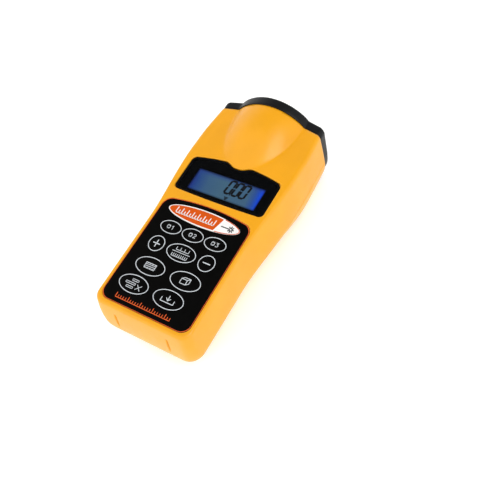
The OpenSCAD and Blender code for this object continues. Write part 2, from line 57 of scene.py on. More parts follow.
# Every length below is in millimetres in the model's frame, and MM turns it into metres.
MM = 0.001
WELD = 0.002
BASE_Y = -69.5
NOSE_Y = 69.5
END_SETBACK = 0.8
FACE_Z = 39.5
JOINT_Z = 21.5
TOP_Z = 47.0
KEYPAD_Y = -62.3
WINDOW_X = 0.3
WINDOW_Y = 4.9
RIDGE_Y = 26.0
RIDGE_RISE = 8.4
SLOPE_Y = 29.0
SHOULDER_Y = 62.2
SHOULDER_DROP = 1.2
NOSE_RIM = 5.4
NOSE_TILT = 0.14
WALL = 2.2
HORN_Z = 22.5
MOUTH_R = 17.5
THROAT_Y = 41.07
LASER_X = -22.6
LASER_Z = 20.4
OVERLAY_Z = 39.0
OVERLAY_TOP = 39.38
RECESS_Z = 37.6
WINDOW_TOP = 39.2
MASK_Z = 38.0
LCD_TOP = 37.8
VIEW_LEFT = -19.8
VIEW_RIGHT = 20.4
VIEW_LOW = 8.0
VIEW_HIGH = 21.1
DOOR_HALF = 13.6
DOOR_Y = -12.1

# Name of each key: centre across, centre above the keypad's lower edge, half width, half height
KEYS = {
    "key_measure": (0, 56.3, 21.2, 4.72),
    "key_memory_one": (-13.3, 46.1, 6.3, 3.8),
    "key_memory_two": (0, 46.1, 6.3, 3.8),
    "key_memory_three": (13.3, 46.1, 6.3, 3.8),
    "key_plus": (-15, 35.4, 4.6, 4.6),
    "key_units": (0, 35.4, 8.5, 4.9),
    "key_minus": (15, 35.4, 4.6, 4.6),
    "key_area": (-10.5, 23.2, 8.7, 4.95),
    "key_volume": (10.5, 23.2, 8.7, 4.95),
    "key_clear": (-12.7, 11.8, 8.7, 4.95),
    "key_store": (8.1, 11.8, 8.7, 4.95),
}
KEY_GAP = 0.22
LEGEND_Z = 39.43

# Half widths of the shells at the joint line and at the top face, at the grip and at the head
JOINT_HALF_GRIP = 29.4
JOINT_HALF_HEAD = 33.0
TOP_HALF_GRIP = 28.0
TOP_HALF_HEAD = 31.4

# The nose's face is swept back beyond SWEEP_X
SWEEP_X = 18.0
SWEEP = radians(12)

# Outlines of the keypad and of the display window
KEYPAD_HALF = 26.0
KEYPAD_CORNER = 5
KEYPAD_SHOULDER = 5.5
KEYPAD_SIDE = 61.7
KEYPAD_TOP = 63.4
WINDOW_HALF = 26.5
WINDOW_CORNER = 2.6
WINDOW_SHOULDER = 3.4
WINDOW_SIDE = 18.2
SHOULDER_TURN = 72

# Cover screws: their axes, and the wells and tubes round them
SCREW_PLACES = [(-19.6, -57.5), (19.6, -57.5), (-26.2, 32.5), (26.2, 32.5)]
WELL_R = 2.7
WELL_TOP = 14.5
TUBE_R = 3.7

# Battery compartment and its door
BAY_START = BASE_Y + 13
BAY_END = BASE_Y + 67.2
RIB_WIDTH = 1.2
DOOR_GAP = 0.3
TONGUE_REACH = 1.2
TONGUE_WIDTH = 1.6

LASER_R = 2.1
THROAT_R = 8.6


# ---- small maths

def mix(a, b, s):
    return a + (b - a) * s


def ramp(a, b, v):
    s = min(1.0, max(0.0, (v - a) / (b - a)))
    return s * s * (3 - 2 * s)


def steps(count):
    """Fractions from 0 to 1 with both ends."""
    return [i / count for i in range(count + 1)]


def quarter(count):
    """A quarter round as (still to go sideways, gone down), from (1, 0) to (0, 1)."""
    return [(1 - sin(pi / 2 * t), 1 - cos(pi / 2 * t)) for t in steps(count)]


def smooth_lookup(v, table):
    """A smooth curve through the rows of a table, flat beyond its ends."""
    if v <= table[0][0]:
        return table[0][1]
    for i in range(len(table) - 1):
        (a, p), (b, q) = table[i], table[i + 1]
        if v <= b:
            before = table[max(0, i - 1)]
            after = table[min(len(table) - 1, i + 2)]
            tangent_a = (q - before[1]) / (b - before[0])
            tangent_b = (after[1] - p) / (after[0] - a)
            t = (v - a) / (b - a)
            w = b - a
            return (
                (2 * t ** 3 - 3 * t ** 2 + 1) * p
                + (t ** 3 - 2 * t ** 2 + t) * w * tangent_a
                + (3 * t ** 2 - 2 * t ** 3) * q
                + (t ** 3 - t ** 2) * w * tangent_b
            )
    return table[-1][1]


def soft_max(a, b, width):
    """The larger of two heights, with a fillet where they meet."""
    h = max(width - abs(a - b), 0.0) / width
    return max(a, b) + h * h * width / 4


def inside(point, loop):
    """True if a point is inside a closed loop of points."""
    x, y = point
    found = False
    for (ax, ay), (bx, by) in zip(loop, loop[1:] + loop[:1]):
        if (ay > y) != (by > y) and x < (bx - ax) * (y - ay) / (by - ay) + ax:
            found = not found
    return found


def rounded(loop, times=1):
    """A closed loop with its corners cut smooth."""
    for _ in range(times):
        cut = []
        for a, b in zip(loop, loop[1:] + loop[:1]):
            cut.append(tuple(mix(p, q, 0.25) for p, q in zip(a, b)))
            cut.append(tuple(mix(p, q, 0.75) for p, q in zip(a, b)))
        loop = cut
    return loop


def raised(loop, z):
    """A flat loop of points at a height."""
    return [(x, y, z) for x, y in loop]


# ---- mesh helpers

def add_object(name, data):
    obj = bpy.data.objects.new(name, data)
    scene.collection.objects.link(obj)
    return obj


def new_object(name, mesh, material, body):
    obj = add_object(name, mesh)
    if material is not None:
        mesh.materials.append(material)
    if body is not None:
        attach(obj, body)
    return obj


def tidy_mesh(mesh, recalc=True, angle=40):
    """Welds doubles, points the faces outwards and shades smooth except at sharp edges."""
    bm = bmesh.new()
    bm.from_mesh(mesh)
    bmesh.ops.remove_doubles(bm, verts=bm.verts, dist=WELD * MM)
    bmesh.ops.dissolve_degenerate(bm, edges=bm.edges, dist=WELD * MM * 0.5)
    if recalc:
        bmesh.ops.recalc_face_normals(bm, faces=bm.faces)
    bm.to_mesh(mesh)
    bm.free()
    mesh.polygons.foreach_set("use_smooth", [True] * len(mesh.polygons))
    mesh.set_sharp_from_angle(angle=radians(angle))
    mesh.update()


def make_piece(name, parts, material, body="casing", slot=None, **how):
    """One object from (points, faces) parts in millimetres."""
    points, faces = [], []
    for part_points, part_faces in parts:
        start = len(points)
        points += [tuple(c * MM for c in p) for p in part_points]
        faces += [tuple(i + start for i in f) for f in part_faces]
    mesh = bpy.data.meshes.new(name)
    mesh.from_pydata(points, [], faces)
    tidy_mesh(mesh, **how)
    return new_object(name, mesh, material, body)


def strip(rings, closed=True):
    """Quads between successive rings of equal length."""
    n = len(rings[0])
    points = [p for ring in rings for p in ring]
    faces = []
    for i in range(len(rings) - 1):
        for j in range(n if closed else n - 1):
            k = (j + 1) % n
            faces.append((i * n + j, i * n + k, (i + 1) * n + k, (i + 1) * n + j))
    return points, faces


def loft(rings):
    """A closed solid between rings, with a flat cap at each end."""
    points, faces = strip(rings)
    n = len(rings[0])
    last = (len(rings) - 1) * n
    faces.append(tuple(range(n)))
    faces.append(tuple(range(last, last + n)))
    return points, faces


def triangles(outer, holes, extra, place):
    """Triangles over a flat region with holes; place turns (x, y) into a 3-D point."""
    loops = [outer] + list(holes)
    flat, edges = [], []
    for loop in loops:
        start = len(flat)
        flat += [Vector(p) for p in loop]
        edges += [(start + i, start + (i + 1) % len(loop)) for i in range(len(loop))]
    flat += [Vector(p) for p in extra]
    made = delaunay_2d_cdt(flat, edges, [], 0, 1e-5)
    points, faces = made[0], made[2]
    kept = []
    for face in faces:
        middle = sum((points[i] for i in face), Vector((0, 0))) / len(face)
        if inside(middle, outer) and not any(inside(middle, hole) for hole in holes):
            kept.append(tuple(face))
    return [place(p.x, p.y) for p in points], kept


def plate(outer, holes, low, high):
    """A flat closed plate with holes between two heights."""
    parts = [
        triangles(outer, holes, (), lambda x, y: (x, y, low)),
        triangles(outer, holes, (), lambda x, y: (x, y, high)),
    ]
    for loop in [outer] + list(holes):
        parts.append(strip([raised(loop, low), raised(loop, high)]))
    return parts


def lathe(profile, place, count):
    """A turned closed solid; the profile is a closed loop of (radius, along)."""
    rings = []
    for i in range(count):
        a = 2 * pi * i / count
        rings.append([place(r * cos(a), along, r * sin(a)) for r, along in profile])
    rings.append(rings[0])
    return strip(rings)


def box_part(low, high):
    """A closed box between two corners."""
    (x0, y0, z0), (x1, y1, z1) = low, high
    return loft([[(x0, y0, z), (x1, y0, z), (x1, y1, z), (x0, y1, z)] for z in (z0, z1)])


def bevel(obj, width, segments=2):
    """Rounds an object's sharp edges."""
    made = obj.modifiers.new("edges", "BEVEL")
    made.width = width * MM
    made.segments = segments
    made.limit_method = "ANGLE"
    made.angle_limit = radians(35)
    made.harden_normals = True


def shell_piece(name, parts, body="casing", **how):
    """A piece of the yellow shell."""
    return make_piece(name, parts, M["shell_yellow"], body, "shell_yellow", **how)


def cut(obj, parts, operation="DIFFERENCE"):
    """Cuts closed parts from an object for good, or keeps what is inside them."""
    tool = make_piece("tool", parts, None, body=None)
    made = obj.modifiers.new("cut", "BOOLEAN")
    made.operation = operation
    made.solver = "EXACT"
    made.object = tool
    depsgraph = bpy.context.evaluated_depsgraph_get()
    mesh = bpy.data.meshes.new_from_object(obj.evaluated_get(depsgraph))
    obj.modifiers.clear()
    obj.data = mesh
    bpy.data.objects.remove(tool)
    tidy_mesh(mesh, recalc=False, angle=30)


# ---- materials

def add_node(tree, kind, inputs, settings):
    """A node; each input is linked where its value is a socket and set where it is a constant."""
    made = tree.nodes.new(kind)
    for key, value in settings.items():
        setattr(made, key, value)
    feed(tree, made, inputs)
    return made


def feed(tree, node, inputs):
    for key, value in inputs.items():
        if isinstance(value, bpy.types.NodeSocket):
            tree.links.new(value, node.inputs[key])
        else:
            node.inputs[key].default_value = value


class Paint:
    """A node tree being built for one material."""

    def __init__(self, name):
        self.material = bpy.data.materials.new(name)
        self.material.use_nodes = True
        self.tree = self.material.node_tree
        self.shader = self.tree.nodes["Principled BSDF"]
        self.place = self.node("ShaderNodeTexCoord", {}).outputs["Object"]

    def node(self, kind, inputs, **settings):
        return add_node(self.tree, kind, inputs, settings)

    def set(self, **values):
        """Sets or links the shader's inputs."""
        feed(self.tree, self.shader, {key.replace("_", " "): v for key, v in values.items()})

    def noise(self, size, detail=4.0, stretch=(1, 1, 1)):
        """Noise with features of a size in millimetres."""
        mapping = self.node("ShaderNodeMapping", {"Scale": stretch, "Vector": self.place})
        made = self.node("ShaderNodeTexNoise", {
            "Scale": 1 / (size * MM), "Detail": detail, "Vector": mapping.outputs["Vector"],
        })
        return made.outputs["Fac"]

    def ramp(self, value, stops):
        """A colour ramp; each stop is (position, colour)."""
        made = self.node("ShaderNodeValToRGB", {"Fac": value})
        ends = made.color_ramp.elements
        while len(ends) < len(stops):
            ends.new(0.5)
        for element, (position, colour) in zip(ends, stops):
            element.position = position
            element.color = (*colour, 1)
        return made.outputs["Color"]

    def map(self, value, low, high, from_low=0.3, from_high=0.7):
        """A value carried from one range to another, held at its ends."""
        made = self.node("ShaderNodeMapRange", {
            "Value": value, "From Min": from_low, "From Max": from_high, "To Min": low,
            "To Max": high,
        })
        return made.outputs["Result"]

    def maths(self, operation, a, b):
        return self.node("ShaderNodeMath", {0: a, 1: b}, operation=operation).outputs["Value"]

    def blend(self, a, b, factor, kind="MIX"):
        """Two colours mixed."""
        values = {"A": a, "B": b, "Factor": factor}
        made = self.node("ShaderNodeMix", values, data_type="RGBA", blend_type=kind)
        return made.outputs["Result"]

    def bump(self, value, depth):
        """Bumps of a depth in millimetres."""
        values = {"Height": value, "Distance": depth * MM, "Strength": 1.0}
        self.set(Normal=self.node("ShaderNodeBump", values).outputs["Normal"])


def shade(colour, factor):
    return tuple(min(1.0, c * factor) for c in colour)


def moulded(name, colour, rough, grain, depth, vary, mottle=9.0, gleam=0.5):
    """Moulded plastic, rubber or print: soft colour drift, uneven gloss and a fine grain."""
    paint = Paint(name)
    drift = paint.noise(mottle, 3.0)
    tones = [(0.3, shade(colour, 1 - vary)), (0.7, shade(colour, 1 + vary))]
    gloss = paint.maths("ADD", paint.noise(mottle * 0.4, 5.0), paint.noise(grain * 3, 2.0))
    paint.set(
        Specular_IOR_Level=gleam,
        Base_Color=paint.ramp(drift, tones),
        Roughness=paint.map(gloss, rough * 0.85, rough * 1.15, 0.7, 1.3),
    )
    paint.bump(paint.noise(grain, 2.0), depth)
    return paint


def brushed(name, colour, rough, stretch):
    """Metal with fine lines along one way."""
    paint = Paint(name)
    lines = paint.noise(1.2, 6.0, stretch)
    paint.set(
        Metallic=1.0,
        Base_Color=paint.ramp(lines, [(0.35, shade(colour, 0.8)), (0.65, shade(colour, 1.08))]),
        Roughness=paint.map(lines, rough * 0.75, rough * 1.3),
    )
    paint.bump(lines, 0.006)
    return paint.material


def yellow_shell():
    """Glossy-satin yellow ABS with a faint spark texture and rubbed, paler patches."""
    paint = moulded("shell_yellow", (0.80, 0.347, 0.002), 0.38, 0.28, 0.006, 0.035, 14.0, 0.4)
    paint.set(Coat_Weight=0.12, Coat_Roughness=0.15)
    return paint.material


def window_glass():
    """Clear acrylic: what is behind shows through, and the surface glints."""
    paint = Paint("window_clear")
    paint.set(Base_Color=(0.02, 0.022, 0.025, 1), Roughness=0.06)
    paint.bump(paint.noise(12.0, 2.0), 0.01)
    tint = {"Color": (0.93, 0.95, 0.97, 1)}
    clear = paint.node("ShaderNodeBsdfTransparent", tint).outputs["BSDF"]
    glint = paint.node("ShaderNodeFresnel", {"IOR": 1.25}).outputs["Fac"]
    smudge = paint.map(paint.noise(8.0, 4.0), 0.0, 0.02)
    both = paint.node("ShaderNodeMixShader", {
        "Fac": paint.maths("ADD", glint, smudge), 1: clear, 2: paint.shader.outputs["BSDF"],
    })
    feed(paint.tree, paint.tree.nodes["Material Output"], {"Surface": both.outputs["Shader"]})
    return paint.material


def lcd_face():
    """Lit blue display: grey-blue in the middle and bright saturated blue towards the lamps."""
    paint = Paint("lcd_face")
    split = paint.node("ShaderNodeSeparateXYZ", {"Vector": paint.place})
    across = paint.map(split.outputs["X"], 0.0, 1.0, VIEW_LEFT * MM, VIEW_RIGHT * MM)
    up = paint.map(split.outputs["Y"], 0.0, 1.0, VIEW_LOW * MM, VIEW_HIGH * MM)
    lean = paint.map(up, -0.025, 0.025, 0.0, 1.0)
    cloud = paint.map(paint.noise(7.0, 3.0), -0.035, 0.035, 0.0, 1.0)
    place = paint.maths("ADD", paint.maths("ADD", across, lean), cloud)
    spread = paint.ramp(place, [
        (0.0, (0.011, 0.036, 0.23)),
        (0.07, (0.020, 0.068, 0.25)),
        (0.22, (0.048, 0.118, 0.225)),
        (0.45, (0.062, 0.140, 0.212)),
        (0.82, (0.056, 0.128, 0.215)),
        (0.90, (0.030, 0.088, 0.31)),
        (0.95, (0.014, 0.078, 0.50)),
        (0.99, (0.006, 0.070, 0.78)),
    ])
    glow = paint.map(up, 0.0, 0.75, 0.78, 1.02)
    lit = paint.blend(spread, (0.022, 0.050, 0.26, 1), glow)
    rim_x = paint.maths("MINIMUM", across, paint.maths("SUBTRACT", 1.0, across))
    rim_y = paint.maths("MINIMUM", up, paint.maths("SUBTRACT", 1.0, up))
    shadow = paint.maths(
        "MULTIPLY", paint.map(rim_x, 0.25, 1.0, 0.0, 0.03), paint.map(rim_y, 0.3, 1.0, 0.0, 0.09)
    )
    shaded = paint.blend(lit, shadow, 1.0, "MULTIPLY")
    dim = paint.blend(shaded, (0.25, 0.25, 0.25, 1), 1.0, "MULTIPLY")
    paint.set(Roughness=0.25, Base_Color=dim, Emission_Color=shaded, Emission_Strength=0.85)
    paint.bump(paint.noise(0.3, 1.0), 0.003)
    return paint.material


def red_lens():
    """Deep red translucent plastic over the pointer."""
    paint = moulded("red_window", (0.45, 0.006, 0.008), 0.12, 0.5, 0.004, 0.2, 1.5)
    paint.set(Coat_Weight=0.6, Coat_Roughness=0.05)
    # The faint red emission is a painted glow that stands in for light caught in the red plastic.
    paint.set(Emission_Color=(0.5, 0.0, 0.0, 1), Emission_Strength=0.12)
    return paint.material


def circuit_board():
    """Green solder mask over faint copper tracks."""
    paint = Paint("board_green")
    tracks = paint.node("ShaderNodeTexBrick", {
        "Scale": 1 / (6 * MM), "Mortar Size": 0.03, "Vector": paint.place,
        "Color1": (0.010, 0.090, 0.030, 1),
        "Color2": (0.014, 0.110, 0.036, 1),
        "Mortar": (0.035, 0.200, 0.070, 1),
    })
    paint.set(
        Base_Color=tracks.outputs["Color"], Roughness=paint.map(paint.noise(2.0), 0.28, 0.42)
    )
    paint.bump(tracks.outputs["Fac"], 0.03)
    return paint.material


# Name: colour, roughness, grain and bump depth in millimetres, how much the colour varies,
# and where they differ from the usual the size of its patches in millimetres and the gleam
MOULDED = {
    "nose_black": ((0.003, 0.0033, 0.0038), 0.38, 0.4, 0.012, 0.15, 9.0, 0.26),
    "horn_black": ((0.016, 0.017, 0.019), 0.30, 0.5, 0.008, 0.15),
    "film_black": ((0.0008, 0.0007, 0.0006), 0.40, 0.22, 0.006, 0.15, 9.0, 0.05),
    "mask_black": ((0.0008, 0.0008, 0.001), 0.45, 0.3, 0.003, 0.2, 9.0, 0.08),
    "black_rubber": ((0.014, 0.014, 0.015), 0.75, 0.6, 0.03, 0.2),
    "chip_black": ((0.012, 0.012, 0.013), 0.55, 0.3, 0.015, 0.15),
    "ink_grey": ((0.60, 0.64, 0.68), 0.5, 0.3, 0.006, 0.08, 2.0),
    "ink_white": ((0.84, 0.83, 0.82), 0.45, 0.3, 0.006, 0.04, 3.0),
    "ink_orange": ((0.60, 0.080, 0.002), 0.42, 0.25, 0.008, 0.08, 3.0, 0.15),
    "edge_orange": ((0.78, 0.105, 0.006), 0.5, 0.3, 0.006, 0.1, 2.0),
    "lcd_ink": ((0.002, 0.003, 0.006), 0.35, 0.4, 0.003, 0.1),
    "lcd_frame": ((0.55, 0.56, 0.57), 0.5, 0.5, 0.02, 0.05),
    "white_plastic": ((0.72, 0.72, 0.70), 0.4, 0.5, 0.02, 0.04),
    "laminate": ((0.20, 0.09, 0.03), 0.6, 0.5, 0.03, 0.15, 2.0),
    "foam": ((0.045, 0.046, 0.05), 0.95, 0.7, 0.35, 0.25, 1.5),
    "battery_case": ((0.035, 0.05, 0.075), 0.3, 1.0, 0.01, 0.12),
    "sleeve": ((0.01, 0.015, 0.06), 0.35, 0.6, 0.01, 0.1),
    "mesh_black": ((0.03, 0.03, 0.03), 0.45, 0.3, 0.02, 0.2),
    "wire_red": ((0.5, 0.012, 0.01), 0.35, 0.6, 0.01, 0.08, 3.0),
    "wire_black": ((0.012, 0.012, 0.013), 0.35, 0.6, 0.01, 0.08, 3.0),
    "wire_white": ((0.75, 0.74, 0.70), 0.35, 0.6, 0.01, 0.08, 3.0),
}


def make_materials():
    made = {name: moulded(name, *finish).material for name, finish in MOULDED.items()}
    made["shell_yellow"] = yellow_shell()
    made["window_clear"] = window_glass()
    made["lcd_face"] = lcd_face()
    made["red_window"] = red_lens()
    made["board_green"] = circuit_board()
    made["aluminium"] = brushed("aluminium", (0.78, 0.79, 0.80), 0.28, (1, 12, 1))
    made["steel"] = brushed("steel", (0.62, 0.63, 0.64), 0.3, (1, 1, 12))
    made["brass"] = brushed("brass", (0.72, 0.52, 0.20), 0.28, (1, 10, 1))
    return made


M = make_materials()


# ---- the body's surface

def joint_half_width(y):
    widest = mix(JOINT_HALF_GRIP, JOINT_HALF_HEAD, ramp(-26.0, 20.0, y))
    return widest - 0.0013 * max(0.0, y - NOSE_Y + 45) ** 2


def top_half_width(y):
    widest = mix(TOP_HALF_GRIP, TOP_HALF_HEAD, ramp(-15.0, 32.0, y))
    return widest - 1.7 * ramp(NOSE_Y - 28, NOSE_Y - 4, y)


def nose_plane(distance, z, x=0.0):
    """Where the tilted surface behind the nose's face lies; it is swept back at both sides."""
    lag = distance + NOSE_TILT * (TOP_Z - z)
    side = lag / cos(SWEEP) + max(0.0, abs(x) - SWEEP_X) * tan(SWEEP)
    return NOSE_Y - soft_max(lag, side, 1.2)


def shoulder_z(y):
    return FACE_Z - SHOULDER_DROP * max(0.0, y - SLOPE_Y) / (SHOULDER_Y - SLOPE_Y)


def edge_radius(y):
    return mix(1.0, 1.9, ramp(WINDOW_Y, WINDOW_Y + 30, y))


def ridge_half(y):
    """Half width of the half cone over the horn where it meets the shoulders."""
    s = min(1.0, max(0.0, (SHOULDER_Y - y) / (SHOULDER_Y - RIDGE_Y)))
    return max(0.8, 19.8 * sqrt(max(0.0, 1 - s * s)))


def ridge_z(x, y):
    """Height of the half cone over the horn, far below the shoulders outside it."""
    s = min(1.0, max(0.0, (SHOULDER_Y - y) / (SHOULDER_Y - RIDGE_Y)))
    half = ridge_half(y)
    rise = max(0.25, RIDGE_RISE * sin(pi / 2 * (1 - s)) ** 1.2)
    r = (half * half + rise * rise) / (2 * rise)
    if abs(x) >= r or y < RIDGE_Y:
        return -50.0
    return shoulder_z(y) + rise - r + sqrt(r * r - x * x)


def top_height(x, y):
    return soft_max(shoulder_z(y), ridge_z(x, y), 0.5)


def skin_height(y, level):
    s, turn = level
    r = edge_radius(y)
    return mix(JOINT_Z + 0.04, shoulder_z(y) - r, s) + r * sin(turn)


def skin_inset(y, level):
    s, turn = level
    return edge_radius(y) * (1 - cos(turn)) + (0.1 if s == 0 else 0.0)


def side_x(y, z, inset):
    s = max(0.0, z - JOINT_Z) / (FACE_Z - JOINT_Z)
    return mix(joint_half_width(y), top_half_width(y), s ** 1.5) - inset


def corner_radius(z):
    return mix(8.5, 5.5, ramp(10, 36, z))


def groove(x, z):
    """Depth of the two short slits in the base end."""
    across = exp(-(((abs(x) - 15.6) / 0.42) ** 2))
    return 1.3 * across * ramp(24.4, 26.6, z) * (1 - ramp(32.0, 34.6, z))


def base_stations(reach):
    """Places across the base end, close together at the slits."""
    wide = [15.2 * t for t in steps(12)][:-1]
    near = [14.4 + 0.15 * i for i in range(17)]
    return wide + near + [mix(16.8, reach, t) for t in steps(4)][1:]


def upper_ring(level):
    """The front cover's outline at one level, from the left front round the base to the right."""
    z = skin_height(KEYPAD_Y, level)
    inset = skin_inset(KEYPAD_Y, level)
    s = max(0.0, z - JOINT_Z) / (FACE_Z - JOINT_Z)
    end = BASE_Y + mix(END_SETBACK, 4.4, s ** 1.5) + inset * 1.25
    r = corner_radius(z)
    y0 = end + r
    x0 = side_x(y0, z, inset) - r
    right = [(x, end + groove(x, z), z) for x in base_stations(x0)]
    right += raised(arc(x0, y0, r, -90, 0, 14)[1:], z)
    front = NOSE_Y - NOSE_RIM
    for _ in range(5):
        height = skin_height(front, level)
        front = nose_plane(NOSE_RIM, height, side_x(front, height, skin_inset(front, level)))
    for y in [mix(y0, front, t) for t in steps(115)[1:]]:
        z = skin_height(y, level)
        right.append((side_x(y, z, skin_inset(y, level)), y, z))
    left = [(-x, y, z) for x, y, z in right[:0:-1]]
    return left + right


def arc(x, y, r, start, end, count):
    turns = [radians(mix(start, end, t)) for t in steps(count)]
    return [(x + r * cos(a), y + r * sin(a)) for a in turns]


def between(a, b, count):
    """Values from a to b without the two ends."""
    return [mix(a, b, t) for t in steps(count)[1:-1]]


def keypad_outline(grow):
    """The film's outline: straight sides, round corners and a bowed upper edge."""
    w, c, r = KEYPAD_HALF + grow, KEYPAD_CORNER, KEYPAD_SHOULDER
    low = KEYPAD_Y - grow
    up = KEYPAD_Y + grow
    side = up + KEYPAD_SIDE - r
    bow = [
        ((w - r) * (1 - 2 * t), up + mix(KEYPAD_TOP, KEYPAD_SIDE, (1 - 2 * t) ** 2))
        for t in steps(38)
    ]
    return (
        arc(w - c, low + c, c, -90, 0, 12)
        + [(w, y) for y in between(low + c, side, 42)]
        + arc(w - r, side, r, 0, SHOULDER_TURN, 12)
        + bow
        + arc(r - w, side, r, 180 - SHOULDER_TURN, 180, 12)
        + [(-w, y) for y in between(side, low + c, 42)]
        + arc(c - w, low + c, c, 180, 270, 12)
        + [(x, low) for x in between(c - w, w - c, 36)]
    )


def window_outline(grow):
    """The window's outline: its upper edge bows and dips round the ridge's end."""
    w, c, r = WINDOW_HALF + grow, WINDOW_CORNER, WINDOW_SHOULDER

    def top(x):
        return WINDOW_Y + 24.2 - 2.5 * (x / 22.8) ** 2 - 2.6 * (1 - ramp(1.2, 8.4, abs(x))) + grow

    def bottom(x):
        return WINDOW_Y + 0.15 + 0.45 * (x / 24) ** 2 - grow

    high = WINDOW_Y + grow + WINDOW_SIDE
    low = bottom(w - c) + c
    loop = (
        arc(w - c, low, c, -90, 0, 10)
        + [(w, y) for y in between(low, high, 14)]
        + arc(w - r, high, r, 0, SHOULDER_TURN, 8)
        + [(x, top(x)) for x in [mix(w - r, r - w, t) for t in steps(48)]]
        + arc(r - w, high, r, 180 - SHOULDER_TURN, 180, 8)
        + [(-w, y) for y in between(high, low, 14)]
        + arc(c - w, low, c, 180, 270, 10)
        + [(x, bottom(x)) for x in between(c - w, w - c, 42)]
    )
    return [(WINDOW_X + x, y) for x, y in loop]


def spaced_grid(outline, avoid, pitch):
    """Staggered points inside an outline, clear of the given loops' points."""
    taken = [p for loop in avoid for p in loop]
    tree = kdtree.KDTree(len(taken))
    for i, p in enumerate(taken):
        tree.insert((p[0], p[1], 0), i)
    tree.balance()
    found = []
    xs = [p[0] for p in outline]
    ys = [p[1] for p in outline]
    for row in range(int((max(ys) - min(ys)) / (pitch * 0.866))):
        y = min(ys) + pitch * 0.866 * (row + 0.5)
        for column in range(int((max(xs) - min(xs)) / pitch)):
            x = min(xs) + pitch * (column + (0.25 if row % 2 else 0.75))
            if tree.find((x, y, 0))[2] > pitch * 0.55 and inside((x, y), outline):
                found.append((x, y))
    return found


def lip(outline, grow, radius, floor, extra):
    """Rings from the top face over a rounded lip, down a wall and on through extra (grow, z)."""
    rings = []
    top = outline(grow + radius)
    for side, down in quarter(5):
        ring = zip(outline(grow + radius * side), top)
        rings.append([(x, y, top_height(*t) - radius * down) for (x, y), t in ring])
    for inner, z in [(grow, floor), *extra]:
        rings.append(raised(outline(inner), z))
    return rings


def front_edge(half):
    """The top face's edge at the nose, from right to left."""
    edge = []
    for x in between(half, -half, 72):
        y = NOSE_Y - NOSE_RIM
        for _ in range(5):
            y = nose_plane(NOSE_RIM, top_height(x, y), x)
        edge.append((x, y))
    return edge


def ridge_crease():
    """Points along both creases of the ridge, which the top face's mesh follows."""
    points = []
    for y in [mix(RIDGE_Y + 1.2, NOSE_Y - NOSE_RIM - 1.2, t) for t in steps(70)]:
        for offset in (-0.9, -0.45, 0.0, 0.45):
            half = ridge_half(y) + offset
            points += [(half, y), (-half, y)]
    return points


def front_cover():
    """The yellow front: sides, top face with the horn's ridge, and lipped recesses."""
    levels = [(0, 0.0), (0.012, 0.0)] + [(t, 0.0) for t in steps(18)[1:]]
    levels += [(1, pi / 2 * t) for t in steps(8)[1:]]
    rings = [upper_ring(level) for level in levels]
    parts = [strip(rings, closed=False)]
    edge = [(x, y) for x, y, z in rings[-1]]
    outer = edge + front_edge(edge[-1][0])
    window = lip(window_outline, 0.3, 0.45, MASK_Z, [(-1.8, MASK_Z), (-1.8, MASK_Z - 1.5)])
    keypad = lip(keypad_outline, 0.15, 0.3, RECESS_Z, [(-1.5, RECESS_Z), (-1.5, RECESS_Z - 1.5)])
    holes = [[(x, y) for x, y, z in ring[0]] for ring in (window, keypad)]
    crease = [p for p in ridge_crease() if not inside(p, holes[0])]
    grid = spaced_grid(outer, [outer, crease] + holes, 1.05) + crease
    grid = [p for p in grid if not any(inside(p, hole) for hole in holes)]
    parts.append(triangles(outer, holes, grid, lambda x, y: (x, y, top_height(x, y))))
    parts.append(strip(window))
    parts.append(strip(keypad))
    cover = shell_piece("front_shell", parts, angle=50)
    top = max(cover.data.polygons, key=lambda f: f.center.z)
    if top.normal.z < 0:
        cover.data.flip_normals()
    walls = cover.modifiers.new("wall", "SOLIDIFY")
    walls.thickness = 1.6 * MM
    walls.offset = -1
    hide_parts("front_cover")


# ---- back cover and door

# Height, and how far the back cover is drawn in there at the grip, the nose and the base end
LEVELS = [
    (0, 15.3, 24.5, 12.5), (0.3, 14.3, 22.4, 11.4), (1, 12.9, 18.7, 10.1), (2, 11.6, 15, 8.9),
    (4, 9.8, 10.4, 7.3), (6, 8.4, 7.4, 5.9), (9, 6.5, 4.4, 4.6), (12, 4.7, 2.3, 3.5),
    (15, 2.95, 0.9, 2.4), (18, 1.3, 0.2, 1.35), (20, 0.4, 0.05, 0.9), (21.5, 0, 0, 0.8),
]
GRIP_LEVELS, NOSE_LEVELS, END_LEVELS = ([(row[0], row[k]) for row in LEVELS] for k in (1, 2, 3))


def low_inset(z, y):
    blend = ramp(BASE_Y + 76, BASE_Y + 102, y)
    return mix(smooth_lookup(z, GRIP_LEVELS), smooth_lookup(z, NOSE_LEVELS), blend)


def lower_ring(z, inset, front=None):
    """The back cover's closed outline at one height, drawn in by an inset."""
    r = corner_radius(z) - inset
    end = BASE_Y + smooth_lookup(z, END_LEVELS) + inset
    y0 = end + r
    x0 = joint_half_width(y0) - low_inset(z, y0) - inset - r
    right = [(mix(0, x0, t), end, z) for t in steps(10)]
    right += raised(arc(x0, y0, r, -90, 0, 12)[1:], z)
    near = NOSE_Y - 8
    last = front or nose_plane(NOSE_RIM, z, joint_half_width(near) - low_inset(z, near))
    for y in [mix(y0, last, t) for t in steps(60)[1:]]:
        right.append((joint_half_width(y) - low_inset(z, y) - inset, y, z))
    if front is None:
        xs = [right[-1][0] * t for t in (0.9, 0.8, 0.7, 0.6, 0.5)]
        right += [(x, nose_plane(NOSE_RIM, z, x), z) for x in xs]
    return right + [(-x, y, z) for x, y, z in right[:0:-1]]


def lower_solid():
    heights = [0, 0.12, 0.3, 0.6, 1, 1.5, 2, 3, 4, 5, 6, 7.5, 9, 10.5, 12, 14, 16.5, 19, 21.2]
    rings = [lower_ring(z, 0) for z in heights]
    return loft(rings + [lower_ring(JOINT_Z - 0.04, 0.1)])


